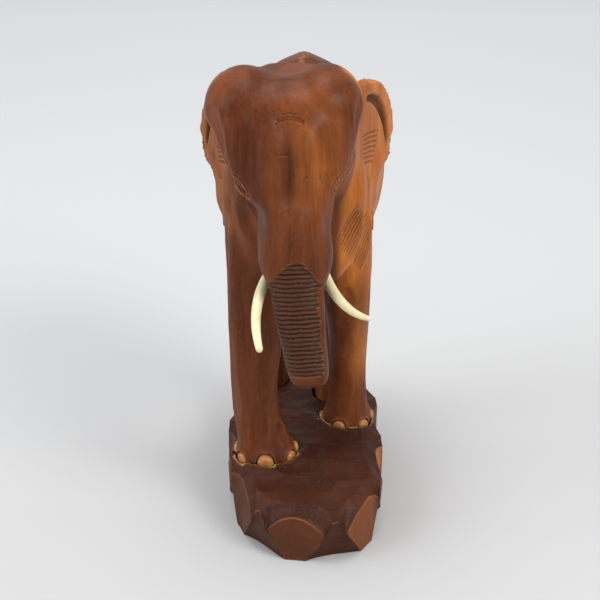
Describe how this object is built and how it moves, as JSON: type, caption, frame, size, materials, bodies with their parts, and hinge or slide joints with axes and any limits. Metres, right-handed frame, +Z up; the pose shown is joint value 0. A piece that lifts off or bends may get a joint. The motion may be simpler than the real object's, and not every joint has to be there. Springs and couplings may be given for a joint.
{
  "type": "carved wooden elephant figurine",
  "caption": "Carved wooden elephant walking on a gouge-cut wooden plinth, with let-in toenails and tusks that turn in drilled sockets.",
  "frame": {"origin": "middle of the plinth's flat underside", "axes": "+Z up, -Y the way the elephant faces, +X the elephant's left"},
  "size_m": [0.1159, 0.2062, 0.2868],
  "materials": {
    "figure": "reddish-brown hardwood, hand-carved, waxed to a soft sheen",
    "plinth": "same wood stained chocolate brown, gouge-cut facets, low sheen",
    "nail": "light ochre wood, domed by hand, low sheen",
    "dowel": "bare light wood",
    "tusk": "cream resin, polished"
  },
  "bodies": {
    "carving": {"dowel_fore_left": "dowel", "dowel_fore_right": "dowel", "dowel_hind_left": "dowel", "dowel_hind_right": "dowel", "figure": "figure", "nail_fore_left_1": "nail", "nail_fore_left_2": "nail", "nail_fore_left_3": "nail", "nail_fore_left_4": "nail", "nail_fore_right_1": "nail", "nail_fore_right_2": "nail", "nail_fore_right_3": "nail", "nail_fore_right_4": "nail", "nail_fore_right_5": "nail", "nail_hind_left_1": "nail", "nail_hind_left_2": "nail", "nail_hind_left_3": "nail", "nail_hind_right_1": "nail", "nail_hind_right_2": "nail", "nail_hind_right_3": "nail", "plinth": "plinth"},
    "tusk_right": {"tusk_right": "tusk"},
    "tusk_left": {"tusk_left": "tusk"}
  },
  "joints": [
    {"name": "tusk_right_turn", "type": "hinge", "parent": "carving", "child": "tusk_right", "pos_m": [-0.0178, -0.05585, 0.1747], "axis": [-0.4211, -0.8321, -0.3609], "continuous": true},
    {"name": "tusk_left_turn", "type": "hinge", "parent": "carving", "child": "tusk_left", "pos_m": [0.0093, -0.05585, 0.1747], "axis": [0.2986, -0.8262, -0.4778], "continuous": true}
  ]
}
